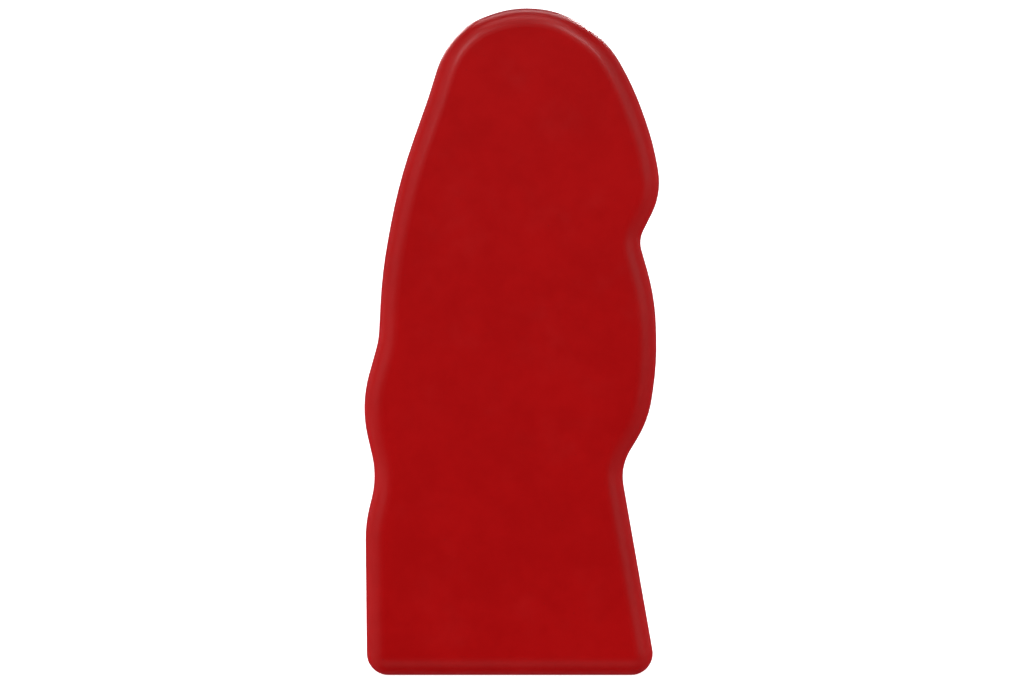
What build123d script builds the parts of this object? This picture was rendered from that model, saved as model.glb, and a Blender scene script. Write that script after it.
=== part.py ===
"""Hand guiro, in millimetres.

A hollow case of two moulded shells stands on its flat base, with +Z up. Its smooth back faces -Y.
Its front faces +Y and carries a ridged hardwood board, a round sound port and a stick to scrape
with, which sits in two clips. The origin is the middle of the whole object's footprint, on the
surface that it stands on.
"""

import os
from math import floor, radians, tan

from build123d import *

os.makedirs("parts", exist_ok=True)

# ---------------------------------------------------------------- driving sizes: case
body_width = 88.4
body_height = 200.0
back_depth = 20.0  # back shell, from its smooth face to the seam
front_depth = 18.0  # front shell, from the seam to its face
wall = 3.0
edge_round = 6.0  # rounding of both faces' edges
base_corner_radius = 6.5
seam_chamfer = 0.4
lip_chamfer = 0.3  # of the front face's openings
rib_thickness = 1.6
rib_height = 2.5
rib_count = 5

# ---------------------------------------------------------------- driving sizes: seam and screws
groove_width = 1.2
groove_depth = 2.4
tongue_height = 1.6
tongue_clearance = 0.1
screw_radius = 1.5
screw_head_radius = 2.75
screw_head_height = 1.9
screw_engagement = 5.0
screw_inset = 9.2  # from the outline
screw_foot = 10.5  # height of the lowest pair
screw_clearance = 0.15
head_clearance = 0.35
counterbore_depth = 2.6
boss_radius = 4.2
insert_radius = 2.3
insert_length = 6.0
insert_recess = 0.5  # below the bosses' tops
insert_ring_width = 1.2  # of the ring cut round the insert's middle
insert_ring_depth = 0.3
thread_clearance = 0.05
cross_width = 0.7  # of a screw's cross recess
cross_depth = 1.1

# ---------------------------------------------------------------- driving sizes: ridge board
board_corner = 6.0
board_seat_depth = 4.0
board_end_pad = 11.0
board_pad_proud = 1.0
board_fit = 0.2
seat_wall = 2.0
crest_proud = 5.5  # the ridges' crest above the front face
arch_rise = 2.4
ramp_length = 4.0
coarse_teeth = 12
coarse_pitch = 4.2
coarse_depth = 2.0
fine_pitch = 2.4
fine_depth = 1.1
tooth_land = 0.5
plain_band = 5.0
side_ledge = 3.5
ledge_thickness = 2.5
window_corner = 3.0
felt_thickness = 0.6
board_screw_inset = 7.0  # from the board's side
board_screw_radius = 1.2
board_screw_head_radius = 2.4
board_screw_length = 11.0
board_screw_clearance = 0.1
countersink_slope = 45
board_boss_radius = 3.0
board_boss_end = 1.0  # below the screw's tip

# ---------------------------------------------------------------- driving sizes: scraper and tray
stick_length = 132.0
shaft_radius = 3.1
grip_radius = 4.4
grip_length = 46.0
grip_end_round = 1.0
grip_fit = 0.05
grip_groove_pitch = 4.0
grip_groove_width = 1.2
grip_groove_depth = 0.5
butt_radius = 4.2
butt_length = 6.0
butt_round = 2.0
tip_length = 14.0
tip_radius = 2.2
tip_round = 1.4
stick_axis_proud = 0.4  # the stick's axis above the front face
bay_radius = 5.0
bay_end_gap = 3.5
tray_wall = 1.5
tray_flange = 1.75
tray_flange_thickness = 1.6
tray_fit = 0.15
snap_tab_length = 8.0
snap_tab_height = 1.5
snap_tab_reach = 0.9  # past the window's edge
clip_length = 7.0
clip_gap = 0.05
clip_jaw_height = 2.0  # above the stick's axis
clip_jaw_round = 0.5
clip_inset = 14.0  # from the grip, and from the start of the tip, to a clip's middle
clip_outer_gap = 0.15
clip_foot_width = 5.6
clip_foot_depth = 0.2  # below the bay's floor
clip_pad_size = 8.0
clip_pad_height = 0.5
peg_radius = 1.4
peg_clearance = 0.1
peg_end = 0.8  # past the washer
washer_radius = 3.2
washer_thickness = 0.8

# ---------------------------------------------------------------- driving sizes: sound port
port_rise = 18.5  # the port's middle above the board
port_margin = 2.9  # from the ring to the tray, and to the rounded edge
port_ring_wall = 2.0
port_flange = 2.5
port_flange_thickness = 1.4
port_flange_round = 0.8
port_fit = 0.1
port_barb_height = 1.0
port_barb_reach = 0.4
port_barb_slope = 30

# ---------------------------------------------------------------- layout of the front
layout_bottom = 13.0  # lowest point of the board and of the tray
layout_web = 2.5  # case face left between the board and the tray
flank_margin = 4.8  # from the rounded edge to the board, and to the tray, at the waist
face_margin = 1.5  # from the rounded edge to the board's top corner, and to the port's margin

# ---------------------------------------------------------------- depth, along Y
total_depth = back_depth + front_depth + crest_proud
back_y = -total_depth / 2
seam_y = back_y + back_depth
front_y = seam_y + front_depth
crest_y = front_y + crest_proud
back_floor_y = back_y + wall
front_ceiling_y = front_y - wall

# ---------------------------------------------------------------- outline
# Corners of the outline, clockwise from the left flank, drawn at drawn_width by drawn_height and
# then stretched to the body's size. Each is x, z and the share of its shorter run that its
# rounding takes: full leaves almost no straight run.
drawn_width = 88.4
drawn_height = 200.0
full = 0.48
outline_corners = [
    (-44.0, 45.5, 0.35),  # hip
    (-40.5, 59.5, 0.45),  # thumb waist
    (-45.5, 81.0, full),  # knuckle
    (-40.0, 100.5, 0.15),  # notch above the knuckle
    (-39.0, 121.0, full),  # long left flank
    (-34.0, 148.0, full),
    (-25.0, 173.5, 0.15),  # neck
    (-21.0, 186.5, full),  # shoulder
    (-13.5, 195.5, full),
    (0.0, 200.4, full),  # crown
    (14.0, 199.4, full),
    (28.5, 190.5, full),
    (36.5, 176.5, full),  # right flank
    (42.5, 159.5, full),
    (45.0, 144.5, 0.45),  # upper bulge
    (38.0, 130.5, 0.2),  # first finger notch
    (43.0, 113.0, full),  # middle bulge
    (43.5, 93.5, 0.45),
    (41.0, 76.5, 0.4),
    (32.5, 62.5, 0.35),  # second finger notch
]
base_half_width = 43.5
smallest_round = 0.5  # of a corner that is drawn in past its centre
waist_z = 61.0  # height of the narrowest part, as drawn
left_screw_heights = [81.0, 176.0]  # of the upper case screws, as drawn
right_screw_heights = [97.0, 152.0]
stretch_x = body_width / drawn_width
stretch_z = body_height / drawn_height


def layer(y):
    """Sketch plane at depth y: its x is the object's X and its y is the object's Z."""
    return Plane.XZ.offset(-y)


def corner_radius(before, corner, after, share):
    """Radius of the arc that touches both runs at a share of the shorter one from the corner."""
    run_in, run_out = corner - before, after - corner
    setback = share * min(run_in.length, run_out.length)
    return setback / tan(radians(run_in.get_angle(run_out) / 2))


def stretched(x, z):
    """A drawn point at the body's real size."""
    return Vector(x * stretch_x, z * stretch_z)


outline_points = [
    stretched(-base_half_width, 0),
    *[stretched(x, z) for x, z, share in outline_corners],
    stretched(base_half_width, 0),
]
outline_radii = [
    base_corner_radius,
    *[
        corner_radius(*outline_points[i : i + 3], corner[2])
        for i, corner in enumerate(outline_corners)
    ],
    base_corner_radius,
]


def inset_outline(inset):
    """The outline drawn in by inset: its runs moved inwards, its arcs about the same centres."""
    points, radii = [], []
    for i, corner in enumerate(outline_points):
        run_in = (corner - outline_points[i - 1]).normalized()
        run_out = (outline_points[(i + 1) % len(outline_points)] - corner).normalized()
        turn = run_out.cross(run_in).Z
        inwards = (run_in + run_out).rotate(Axis.Z, -90)
        points.append(corner + inwards * (inset / (1 + run_in.dot(run_out))))
        shrink = inset if turn > 0 else -inset
        radii.append(max(outline_radii[i] - shrink, smallest_round))
    with BuildSketch(mode=Mode.PRIVATE) as drawn_in:
        with BuildLine():
            FilletPolyline(*points, radius=radii, close=True)
        make_face()
    return drawn_in.sketch_local


def row_ends(z, inset=0.0):
    """Left and right x of the outline drawn in by inset, at height z."""
    ray = Edge.make_line((-body_width, z), (body_width, z))
    crossings = ray.intersect(inset_outline(inset).face()).vertices()
    return min(v.X for v in crossings), max(v.X for v in crossings)


def column_top(x, inset=0.0):
    """Highest z of the outline drawn in by inset, at a given x."""
    ray = Edge.make_line((x, 0), (x, 2 * body_height))
    return max(v.Y for v in ray.intersect(inset_outline(inset).face()).vertices())


# ---------------------------------------------------------------- places on the front face
tray_width = 2 * (bay_radius + tray_wall + tray_flange)
bay_length = stick_length + 2 * bay_end_gap
tray_length = bay_length + 2 * (tray_wall + tray_flange)
face_left, face_right = row_ends(waist_z * stretch_z, edge_round)
board_left = face_left + flank_margin
tray_right = face_right - flank_margin
tray_left = tray_right - tray_width
board_right = tray_left - layout_web
board_width = board_right - board_left
board_x = (board_left + board_right) / 2
tray_x = (tray_left + tray_right) / 2

board_top = column_top(board_left, edge_round + face_margin)
board_length = board_top - layout_bottom
board_z = layout_bottom + board_length / 2
rasp_length = board_length - 2 * board_end_pad
rasp_bottom = layout_bottom + board_end_pad
rasp_top = rasp_bottom + rasp_length
board_back_y = front_y - board_seat_depth + felt_thickness
ledge_back_y = front_y - board_seat_depth - ledge_thickness
pad_y = front_y + board_pad_proud
board_screw_tip_y = pad_y - board_screw_length
board_screw_points = [
    (x, z)
    for x in (board_left + board_screw_inset, board_right - board_screw_inset)
    for z in (layout_bottom + board_end_pad / 2, board_top - board_end_pad / 2)
]

tray_z = layout_bottom + tray_length / 2
tray_floor_y = front_y + stick_axis_proud - bay_radius - tray_wall
stick_axis_y = front_y + stick_axis_proud
stick_bottom = tray_z - stick_length / 2
stick_top = stick_bottom + stick_length
stick_axis = Axis((tray_x, stick_axis_y, 0), (0, 0, 1))
grip_bottom = stick_bottom + butt_length
grip_top = grip_bottom + grip_length
tip_bottom = stick_top - tip_length
clip_heights = [grip_top + clip_inset, tip_bottom - clip_inset]
clip_points = [(tray_x, z) for z in clip_heights]
clip_foot_y = stick_axis_y - bay_radius - clip_foot_depth
clip_pad_y = tray_floor_y - clip_pad_height
washer_y = clip_pad_y - washer_thickness

port_z = board_top + port_rise
port_left = row_ends(port_z, edge_round + face_margin)[0]
port_x = (port_left + tray_left) / 2
port_reach = (tray_left - port_left) / 2 - port_margin
port_radius = port_reach - port_flange

screw_points = [
    (row_ends(z, screw_inset)[side], z)
    for side, drawn in enumerate([left_screw_heights, right_screw_heights])
    for z in [screw_foot, *[height * stretch_z for height in drawn]]
]
screw_seat_y = front_y - counterbore_depth
insert_top_y = seam_y - insert_recess
insert_bottom_y = insert_top_y - insert_length
screw_tip_y = insert_top_y - screw_engagement


def export(part, label):
    """Labels a finished piece and writes it under its label."""
    part.label = label
    export_step(part, f"parts/{label}.step")


def board_outline(growth):
    """The board's rounded rectangle, grown by growth on every side."""
    with Locations((board_x, board_z)):
        RectangleRounded(
            board_width + 2 * growth, board_length + 2 * growth, board_corner + growth
        )


def board_window():
    """The opening under the rasp."""
    with Locations((board_x, board_z)):
        RectangleRounded(board_width - 2 * side_ledge, rasp_length, window_corner)


def tray_slot(length, width):
    """A slot with round ends along Z, centred on the tray."""
    with Locations((tray_x, tray_z)):
        SlotOverall(length, width, rotation=90)


def discs(points, radius):
    """A disc at each point."""
    with Locations(*points):
        Circle(radius)


def crosses(points, length, width):
    """A cross recess at each point."""
    with Locations(*points):
        Rectangle(length, width)
        Rectangle(width, length)


def rim_band(width):
    """A band of that width along the middle of the rim."""
    add(inset_outline((wall - width) / 2))
    add(inset_outline((wall + width) / 2), mode=Mode.SUBTRACT)


def rounded_prism(section, depth, rounding, chamfering=0.0):
    """A section carried from the seam to a depth, negative towards the front, its far edge round."""
    with BuildPart() as prism:
        with BuildSketch(layer(seam_y)):
            add(section)
        extrude(amount=depth)
        ends = prism.faces().filter_by(Axis.Y).sort_by(Axis.Y, reverse=depth < 0)
        fillet(ends[0].edges(), rounding)
        if chamfering:
            chamfer(ends[-1].edges(), chamfering)
    return prism.part


def hollow_shell(depth):
    """Half of the case, open at the seam, before anything is fitted in it."""
    inner_depth = depth - wall if depth > 0 else depth + wall
    outside = rounded_prism(inset_outline(0), depth, edge_round, seam_chamfer)
    inside = rounded_prism(inset_outline(wall), inner_depth, edge_round - wall)
    return outside - inside


# ---------------------------------------------------------------- back shell
with BuildPart() as back_shell:
    add(hollow_shell(back_depth))
    # stiffening ribs across the floor
    with BuildSketch(layer(back_floor_y)):
        with Locations((0, body_height / 2)):
            with GridLocations(1, body_height / (rib_count + 1), 1, rib_count):
                Rectangle(body_width, rib_thickness)
        add(inset_outline(wall / 2), mode=Mode.INTERSECT)
    extrude(amount=-rib_height)
    # bosses, each with a blind hole for its brass insert
    with BuildSketch(layer(seam_y)):
        discs(screw_points, boss_radius)
    extrude(amount=back_depth - wall)
    with BuildSketch(layer(seam_y)):
        discs(screw_points, insert_radius)
    extrude(amount=seam_y - insert_bottom_y, mode=Mode.SUBTRACT)
    # groove along the rim
    with BuildSketch(layer(seam_y)):
        rim_band(groove_width)
    extrude(amount=groove_depth, mode=Mode.SUBTRACT)
export(back_shell.part, "back_shell")

# ---------------------------------------------------------------- front shell
with BuildPart() as front_shell:
    add(hollow_shell(-front_depth))
    # towers of the case screws, and the frame and bosses behind the board's seat
    with BuildSketch(layer(seam_y)):
        discs(screw_points, boss_radius)
    extrude(amount=-(front_depth - wall))
    with BuildSketch(layer(front_ceiling_y)):
        board_outline(board_fit + seat_wall)
    extrude(amount=front_ceiling_y - ledge_back_y)
    with BuildSketch(layer(ledge_back_y)):
        discs(board_screw_points, board_boss_radius)
    extrude(amount=ledge_back_y - board_screw_tip_y + board_boss_end)
    # seat and window of the board
    with BuildSketch(layer(front_y)):
        board_outline(board_fit)
    extrude(amount=board_seat_depth, mode=Mode.SUBTRACT)
    with BuildSketch(layer(front_y)):
        board_window()
    extrude(amount=front_y - ledge_back_y, mode=Mode.SUBTRACT)
    with BuildSketch(layer(front_y)):
        discs(board_screw_points, board_screw_radius + thread_clearance)
    extrude(amount=front_y - board_screw_tip_y, mode=Mode.SUBTRACT)
    # seat and window of the tray
    with BuildSketch(layer(front_y)):
        tray_slot(tray_length + 2 * tray_fit, tray_width + 2 * tray_fit)
    extrude(amount=tray_flange_thickness, mode=Mode.SUBTRACT)
    with BuildSketch(layer(front_y)):
        tray_slot(
            bay_length + 2 * (tray_wall + tray_fit),
            2 * (bay_radius + tray_wall + tray_fit),
        )
    extrude(amount=wall, mode=Mode.SUBTRACT)
    # sound port
    with BuildSketch(layer(front_y)):
        discs([(port_x, port_z)], port_radius)
    extrude(amount=wall, mode=Mode.SUBTRACT)
    # case screws: through holes and counterbores
    with BuildSketch(layer(front_y)):
        discs(screw_points, screw_radius + screw_clearance)
    extrude(amount=front_depth, mode=Mode.SUBTRACT)
    with BuildSketch(layer(front_y)):
        discs(screw_points, screw_head_radius + head_clearance)
    extrude(amount=counterbore_depth, mode=Mode.SUBTRACT)
    lips = front_shell.faces().filter_by(Axis.Y).sort_by(Axis.Y)[-1].inner_wires()
    chamfer(lips.edges(), lip_chamfer)
    # tongue that enters the back shell's groove
    with BuildSketch(layer(seam_y)):
        rim_band(groove_width - 2 * tongue_clearance)
    extrude(amount=tongue_height)
export(front_shell.part, "front_shell")

# ---------------------------------------------------------------- seam gasket
with BuildPart() as seam_gasket:
    with BuildSketch(layer(seam_y - tongue_height)):
        rim_band(groove_width - tongue_clearance)
    extrude(amount=groove_depth - tongue_height)
export(seam_gasket.part, "seam_gasket")

# ---------------------------------------------------------------- brass inserts
with BuildPart() as boss_inserts:
    with BuildSketch(layer(insert_top_y)):
        discs(screw_points, insert_radius)
    extrude(amount=insert_length)
    with BuildSketch(layer(insert_top_y - (insert_length - insert_ring_width) / 2)):
        discs(screw_points, insert_radius)
        with Locations(*screw_points):
            Circle(insert_radius - insert_ring_depth, mode=Mode.SUBTRACT)
    extrude(amount=insert_ring_width, mode=Mode.SUBTRACT)
    with BuildSketch(layer(insert_top_y)):
        discs(screw_points, screw_radius + thread_clearance)
    extrude(amount=insert_length, mode=Mode.SUBTRACT)
export(boss_inserts.part, "boss_inserts")

# ---------------------------------------------------------------- case screws
with BuildPart() as case_screws:
    with BuildSketch(layer(screw_seat_y)):
        discs(screw_points, screw_head_radius)
    extrude(amount=-screw_head_height)
    fillet(case_screws.faces().filter_by(Axis.Y).group_by(Axis.Y)[-1].edges(), screw_head_height / 2)
    with BuildSketch(layer(screw_seat_y)):
        discs(screw_points, screw_radius)
    extrude(amount=screw_seat_y - screw_tip_y)
    with BuildSketch(layer(screw_seat_y + screw_head_height)):
        crosses(screw_points, screw_head_radius, cross_width)
    extrude(amount=cross_depth, mode=Mode.SUBTRACT)
export(case_screws.part, "case_screws")

# ---------------------------------------------------------------- ridge board
arch_radius = ((board_width / 2) ** 2 + arch_rise**2) / (2 * arch_rise)
arch_axis_y = crest_y - arch_radius
arch_plane = Plane(origin=(board_x, arch_axis_y, 0), x_dir=(0, 1, 0), z_dir=(1, 0, 0))
coarse_bottom = rasp_bottom + ramp_length
fine_top = rasp_top - ramp_length
fine_room = fine_top - coarse_bottom - coarse_teeth * coarse_pitch - plain_band
fine_teeth = floor(fine_room / fine_pitch)


def tooth_row(bottom, pitch, depth, count):
    """Radius and z of the points of a row of V grooves cut down from the arch."""
    points = []
    for tooth in range(count):
        start = bottom + tooth * pitch
        points.append((arch_radius, start + tooth_land / 2))
        points.append((arch_radius - depth, start + pitch / 2))
        points.append((arch_radius, start + pitch - tooth_land / 2))
    return points


with BuildPart() as ridge_board:
    with BuildSketch(arch_plane):
        with BuildLine():
            Polyline(
                (board_back_y - arch_axis_y, rasp_bottom),
                (pad_y - arch_axis_y, rasp_bottom),
                (arch_radius, coarse_bottom),
                *tooth_row(coarse_bottom, coarse_pitch, coarse_depth, coarse_teeth),
                *tooth_row(fine_top - fine_teeth * fine_pitch, fine_pitch, fine_depth, fine_teeth),
                (arch_radius, fine_top),
                (pad_y - arch_axis_y, rasp_top),
                (board_back_y - arch_axis_y, rasp_top),
                close=True,
            )
        make_face()
    revolve(axis=Axis((board_x, arch_axis_y, 0), (0, 0, 1)))
    with BuildSketch(layer(board_back_y)):
        with Locations((board_x, board_z)):
            Rectangle(board_width, rasp_length)
    extrude(amount=-(crest_y - board_back_y), mode=Mode.INTERSECT)
    with BuildSketch(layer(board_back_y)):
        board_outline(0)
    extrude(amount=-(pad_y - board_back_y))
    with BuildSketch(layer(pad_y)):
        discs(board_screw_points, board_screw_radius + board_screw_clearance)
    extrude(amount=pad_y - board_back_y, mode=Mode.SUBTRACT)
    with BuildSketch(layer(pad_y)):
        discs(board_screw_points, board_screw_head_radius + board_screw_clearance)
    extrude(
        amount=board_screw_head_radius - board_screw_radius,
        taper=countersink_slope,
        mode=Mode.SUBTRACT,
    )
export(ridge_board.part, "ridge_board")

# ---------------------------------------------------------------- felt under the board
with BuildPart() as board_felt:
    with BuildSketch(layer(board_back_y)):
        board_outline(-board_fit)
        with Locations((board_x, board_z)):
            Rectangle(board_width - 2 * side_ledge, rasp_length, mode=Mode.SUBTRACT)
        with Locations(*board_screw_points):
            Circle(board_screw_radius + board_screw_clearance, mode=Mode.SUBTRACT)
    extrude(amount=felt_thickness)
export(board_felt.part, "board_felt")

# ---------------------------------------------------------------- board screws
with BuildPart() as board_screws:
    with BuildSketch(layer(pad_y)):
        discs(board_screw_points, board_screw_radius)
    extrude(amount=board_screw_length)
    with BuildSketch(layer(pad_y)):
        discs(board_screw_points, board_screw_head_radius)
    extrude(amount=board_screw_head_radius - board_screw_radius, taper=countersink_slope)
    with BuildSketch(layer(pad_y)):
        crosses(board_screw_points, board_screw_head_radius, cross_width)
    extrude(amount=cross_depth, mode=Mode.SUBTRACT)
export(board_screws.part, "board_screws")

# ---------------------------------------------------------------- sound port's ring
with BuildPart() as port_ring:
    with BuildSketch(layer(front_y)):
        discs([(port_x, port_z)], port_reach)
    extrude(amount=-port_flange_thickness)
    fillet(port_ring.faces().sort_by(Axis.Y)[-1].edges(), port_flange_round)
    with BuildSketch(layer(front_y)):
        discs([(port_x, port_z)], port_radius - port_fit)
    extrude(amount=wall + port_fit + port_barb_height)
    with BuildSketch(layer(front_ceiling_y - port_fit)):
        discs([(port_x, port_z)], port_radius + port_barb_reach)
    extrude(amount=port_barb_height, taper=port_barb_slope)
    with BuildSketch(layer(front_y + port_flange_thickness)):
        discs([(port_x, port_z)], port_radius - port_ring_wall)
    extrude(
        amount=port_flange_thickness + wall + port_fit + port_barb_height,
        mode=Mode.SUBTRACT,
    )
export(port_ring.part, "port_ring")


def half_capsule(length, radius, mode=Mode.ADD):
    """The back half of a rod with ball ends, on the stick's axis, in the current part."""
    with BuildSketch(layer(stick_axis_y)) as profile:
        tray_slot(length, 2 * radius)
        with Locations((tray_x, tray_z)):
            Rectangle(radius, length, align=(Align.MIN, Align.CENTER), mode=Mode.INTERSECT)
    revolve(profile.sketch, axis=stick_axis, revolution_arc=-180, mode=mode)


# ---------------------------------------------------------------- scraper's tray
with BuildPart() as scraper_tray:
    half_capsule(bay_length + 2 * tray_wall, bay_radius + tray_wall)
    with BuildSketch(layer(front_y)):
        tray_slot(tray_length, tray_width)
    extrude(amount=-stick_axis_proud, mode=Mode.SUBTRACT)
    with BuildSketch(layer(front_y)):
        tray_slot(tray_length, tray_width)
    extrude(amount=tray_flange_thickness)
    # snap tabs behind the case's wall
    with BuildSketch(layer(front_ceiling_y)):
        with Locations((tray_x, tray_z)):
            with GridLocations(1, tray_length / 2, 1, 2):
                Rectangle(
                    2 * (bay_radius + tray_wall + tray_fit + snap_tab_reach), snap_tab_length
                )
    extrude(amount=snap_tab_height)
    # flat pads under the clips
    with BuildSketch(layer(clip_pad_y)):
        with Locations(*clip_points):
            Rectangle(clip_pad_size, clip_pad_size)
    extrude(amount=-(clip_pad_height + tray_wall))
    half_capsule(bay_length, bay_radius, Mode.SUBTRACT)
    # seats and peg holes of the clips
    with BuildSketch(layer(clip_foot_y)):
        with Locations(*clip_points):
            Rectangle(clip_foot_width + 2 * tray_fit, clip_length + 2 * tray_fit)
    extrude(amount=-(stick_axis_y - clip_foot_y), mode=Mode.SUBTRACT)
    with BuildSketch(layer(clip_foot_y)):
        discs(clip_points, peg_radius + peg_clearance)
    extrude(amount=clip_foot_y - clip_pad_y, mode=Mode.SUBTRACT)
export(scraper_tray.part, "scraper_tray")


# ---------------------------------------------------------------- clips that hold the stick
def make_clip(label, z):
    """A clip at height z, open to the front, keyed into the tray and pegged through it."""
    outer_radius = bay_radius - clip_outer_gap
    inner_radius = shaft_radius + clip_gap
    from_axis = (Align.CENTER, Align.MIN)
    to_axis = (Align.CENTER, Align.MAX)
    with BuildPart() as clip:
        with BuildSketch(Plane.XY.offset(z - clip_length / 2)):
            with Locations((tray_x, stick_axis_y)):
                Circle(outer_radius)
                Rectangle(2 * outer_radius, clip_jaw_height, align=from_axis)
                Rectangle(clip_foot_width, stick_axis_y - clip_foot_y, align=to_axis)
                Circle(inner_radius, mode=Mode.SUBTRACT)
                Rectangle(
                    2 * inner_radius, bay_radius, align=from_axis, mode=Mode.SUBTRACT
                )
            with Locations((tray_x, stick_axis_y + clip_jaw_height)):
                Rectangle(
                    2 * bay_radius, bay_radius, align=from_axis, mode=Mode.SUBTRACT
                )
        extrude(amount=clip_length)
        jaw_tops = clip.faces().filter_by(Axis.Y).group_by(Axis.Y)[-1]
        fillet(jaw_tops.edges().filter_by(Axis.Z), clip_jaw_round)
        with BuildSketch(layer(clip_foot_y)):
            discs([(tray_x, z)], peg_radius)
        extrude(amount=clip_foot_y - washer_y + peg_end)
    export(clip.part, label)


for label, z in zip(["lower_clip", "upper_clip"], clip_heights):
    make_clip(label, z)

# ---------------------------------------------------------------- washers on the clips' pegs
with BuildPart() as clip_washers:
    with BuildSketch(layer(clip_pad_y)):
        discs(clip_points, washer_radius)
        with Locations(*clip_points):
            Circle(peg_radius + thread_clearance, mode=Mode.SUBTRACT)
    extrude(amount=washer_thickness)
export(clip_washers.part, "clip_washers")

# ---------------------------------------------------------------- scraper's stick
stick_plane = Plane(origin=(tray_x, stick_axis_y, 0), x_dir=(1, 0, 0), z_dir=(0, -1, 0))
with BuildPart() as scraper_stick:
    with BuildSketch(stick_plane):
        with BuildLine():
            Polyline(
                (0, stick_bottom),
                (butt_radius, stick_bottom),
                (butt_radius, grip_bottom),
                (shaft_radius, grip_bottom),
                (shaft_radius, tip_bottom),
                (tip_radius, stick_top),
                (0, stick_top),
                close=True,
            )
        make_face()
    revolve(axis=stick_axis)
    end_faces = scraper_stick.faces().filter_by(Axis.Z).sort_by(Axis.Z)
    fillet(end_faces[0].edges(), butt_round)
    fillet(end_faces[-1].edges(), tip_round)
export(scraper_stick.part, "scraper_stick")

# ---------------------------------------------------------------- scraper's grip
groove_count = floor((grip_length - grip_groove_pitch) / grip_groove_pitch)
with BuildPart() as scraper_grip:
    with BuildSketch(stick_plane):
        with Locations((shaft_radius + grip_fit, grip_bottom)):
            Rectangle(
                grip_radius - shaft_radius - grip_fit, grip_length, align=(Align.MIN, Align.MIN)
            )
    revolve(axis=stick_axis)
    end_faces = scraper_grip.faces().filter_by(Axis.Z).sort_by(Axis.Z)
    fillet(end_faces[-1].edges().sort_by(SortBy.RADIUS)[-1], grip_end_round)
    with BuildSketch(stick_plane):
        with Locations((grip_radius, grip_bottom + grip_length / 2)):
            with GridLocations(1, grip_groove_pitch, 1, groove_count):
                Rectangle(2 * grip_groove_depth, grip_groove_width)
    revolve(axis=stick_axis, mode=Mode.SUBTRACT)
export(scraper_grip.part, "scraper_grip")
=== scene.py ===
# %% [markdown]
# # A hand guiro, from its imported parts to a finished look
#
# The guiro is a hollow red case of two moulded shells. Its smooth back faces the camera. Its front
# carries a ridged hardwood board, a sound port and a stick that sits in two clips. The packed
# parts are the fixed frame: they say where everything is. This script gives each part its surface,
# and builds again the ones whose shape wants more than a machined solid has.

# %% Load the frame
import bpy
import numpy as np
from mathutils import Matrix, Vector


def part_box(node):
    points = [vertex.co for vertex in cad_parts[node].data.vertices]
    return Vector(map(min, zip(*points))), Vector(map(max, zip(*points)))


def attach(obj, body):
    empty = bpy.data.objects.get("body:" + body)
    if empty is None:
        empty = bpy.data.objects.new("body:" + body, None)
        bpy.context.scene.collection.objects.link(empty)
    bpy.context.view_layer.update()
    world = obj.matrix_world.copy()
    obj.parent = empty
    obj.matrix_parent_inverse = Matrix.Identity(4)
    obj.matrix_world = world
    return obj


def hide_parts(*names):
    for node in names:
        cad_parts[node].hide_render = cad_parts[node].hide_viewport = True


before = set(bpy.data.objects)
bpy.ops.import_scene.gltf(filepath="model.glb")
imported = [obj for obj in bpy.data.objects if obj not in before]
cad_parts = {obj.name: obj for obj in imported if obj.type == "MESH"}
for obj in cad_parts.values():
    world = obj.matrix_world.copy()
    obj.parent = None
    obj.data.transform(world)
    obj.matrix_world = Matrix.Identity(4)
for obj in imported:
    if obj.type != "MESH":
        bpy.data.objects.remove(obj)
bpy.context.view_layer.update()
mm = 0.001

# %% [markdown]
# ## Where things are
#
# Every size below starts from a box of the frame, so that a piece sits where its solid sits. Depth
# runs along Y: the back is at the low end and the ridges are at the high end.

# %% Landmarks
back_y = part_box("back_shell")[0].y
front_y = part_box("front_shell")[1].y
edge_round = 6 * mm
print("depth of the case:", round((front_y - back_y) / mm, 2), "mm")

# %% [markdown]
# ## Shader maths as plain expressions
#
# A material is a graph of nodes, but most of what it says is arithmetic. A `Signal` wraps the
# socket that a number comes out of, and adding or multiplying signals adds the Math nodes.
# Everything else comes from `Finish.node`, which takes a node's type, its settings and what goes
# into its sockets.

# %% The two classes that every finish uses
class Signal:
    """A number, colour or vector on its way through a material."""

    def __init__(self, finish, socket):
        self.finish = finish
        self.socket = socket

    def calculate(self, operation, *terms):
        return self.finish.node("ShaderNodeMath", {"operation": operation}, dict(enumerate(terms)))

    def __add__(self, other):
        return self.calculate("ADD", self, other)

    def __radd__(self, other):
        return self.calculate("ADD", other, self)

    def __sub__(self, other):
        return self.calculate("SUBTRACT", self, other)

    def __rsub__(self, other):
        return self.calculate("SUBTRACT", other, self)

    def __mul__(self, other):
        return self.calculate("MULTIPLY", self, other)

    def __rmul__(self, other):
        return self.calculate("MULTIPLY", other, self)


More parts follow.
